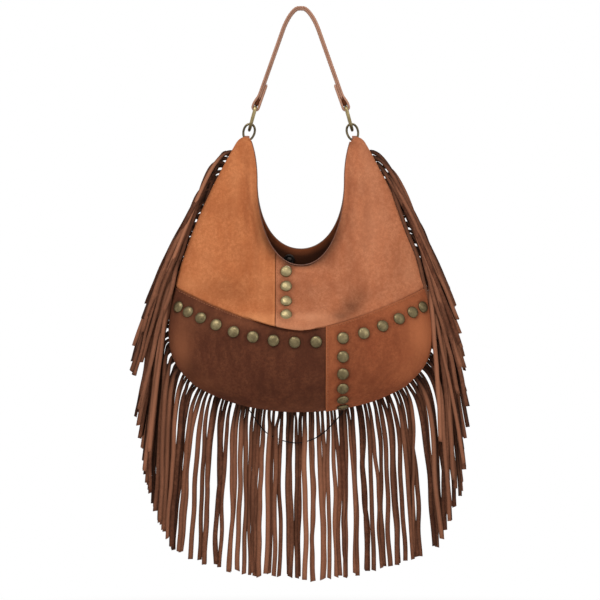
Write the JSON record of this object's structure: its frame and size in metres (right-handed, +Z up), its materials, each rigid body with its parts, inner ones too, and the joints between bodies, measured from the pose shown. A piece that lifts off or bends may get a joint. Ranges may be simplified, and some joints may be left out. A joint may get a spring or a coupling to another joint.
{
  "type": "shoulder bag",
  "caption": "Slouchy suede shoulder bag with a short folded strap on brass links and rings, patchwork front, domed studs and long leather fringe.",
  "frame": {"origin": "underside of the strap's top bend, at the middle of its width, where the hook or shoulder carries the bag", "axes": "+Z up, +Y from the studded front towards the back, +X to the right seen from the front"},
  "size_m": [0.4032, 0.1237, 0.6902],
  "materials": {
    "strap_leather": "smooth matte leather with darker sealed edges",
    "link_brass": "antique brass, polished on the high spots",
    "ring_metal": "dark antique brass",
    "stud_brass": "antique brass domes",
    "suede_tan": "orange tan suede",
    "suede_rose": "pinkish tan suede",
    "suede_brown": "dark brown suede",
    "suede_russet": "reddish brown suede",
    "suede_back": "mid brown suede",
    "fringe_suede": "cut suede strips",
    "facing_leather": "smooth leather facing",
    "lining_cloth": "dark woven lining",
    "cord_thread": "thin black cord"
  },
  "bodies": {
    "strap": {"strap": "strap_leather"},
    "link_left": {"strap_link_left": "link_brass"},
    "link_right": {"strap_link_right": "link_brass"},
    "ring_left": {"ring_left": "ring_metal"},
    "ring_right": {"ring_right": "ring_metal"},
    "pouch": {"back_panel": "suede_back", "fringe_bottom": "fringe_suede", "fringe_left": "fringe_suede", "fringe_right": "fringe_suede", "front_lower_left_panel": "suede_brown", "front_lower_right_panel": "suede_russet", "front_upper_left_panel": "suede_tan", "front_upper_right_panel": "suede_rose", "lining": "lining_cloth", "magnetic_snap_back": "ring_metal", "magnetic_snap_front": "ring_metal", "mouth_facing_back": "facing_leather", "mouth_facing_front": "facing_leather", "ring_tab_left": "suede_tan", "ring_tab_right": "suede_tan", "seam_cord": "cord_thread", "stud_left_row_1": "stud_brass", "stud_left_row_2": "stud_brass", "stud_left_row_3": "stud_brass", "stud_left_row_4": "stud_brass", "stud_left_row_5": "stud_brass", "stud_left_row_6": "stud_brass", "stud_left_row_7": "stud_brass", "stud_left_row_8": "stud_brass", "stud_left_row_9": "stud_brass", "stud_right_column_1": "stud_brass", "stud_right_column_2": "stud_brass", "stud_right_column_3": "stud_brass", "stud_right_column_4": "stud_brass", "stud_right_column_5": "stud_brass", "stud_right_row_1": "stud_brass", "stud_right_row_2": "stud_brass", "stud_right_row_3": "stud_brass", "stud_right_row_4": "stud_brass", "stud_right_row_5": "stud_brass", "stud_right_row_6": "stud_brass", "stud_upper_column_1": "stud_brass", "stud_upper_column_2": "stud_brass", "stud_upper_column_3": "stud_brass", "stud_upper_column_4": "stud_brass"}
  },
  "joints": [
    {"name": "link_left_tilt", "type": "hinge", "parent": "strap", "child": "link_left", "pos_m": [-0.05411, 0, -0.11626], "axis": [0, 1, 0], "range_deg": [-1.5, 1.5]},
    {"name": "link_right_tilt", "type": "hinge", "parent": "strap", "child": "link_right", "pos_m": [0.05411, 0, -0.11626], "axis": [0, 1, 0], "range_deg": [-1.5, 1.5]},
    {"name": "ring_left_swing", "type": "hinge", "parent": "strap", "child": "ring_left", "pos_m": [-0.05974, 0, -0.13655], "axis": [1, 0, 0], "range_deg": [-45, 45]},
    {"name": "ring_right_swing", "type": "hinge", "parent": "strap", "child": "ring_right", "pos_m": [0.05974, 0, -0.13655], "axis": [1, 0, 0], "range_deg": [-45, 45]},
    {"name": "pouch_swing", "type": "hinge", "parent": "ring_left", "child": "pouch", "pos_m": [-0.06463, 0, -0.15615], "axis": [1, 0, 0], "range_deg": [-20, 20]}
  ],
  "couplings": [
    {"joint": "ring_right_swing", "follows": "ring_left_swing", "ratio": 1}
  ]
}
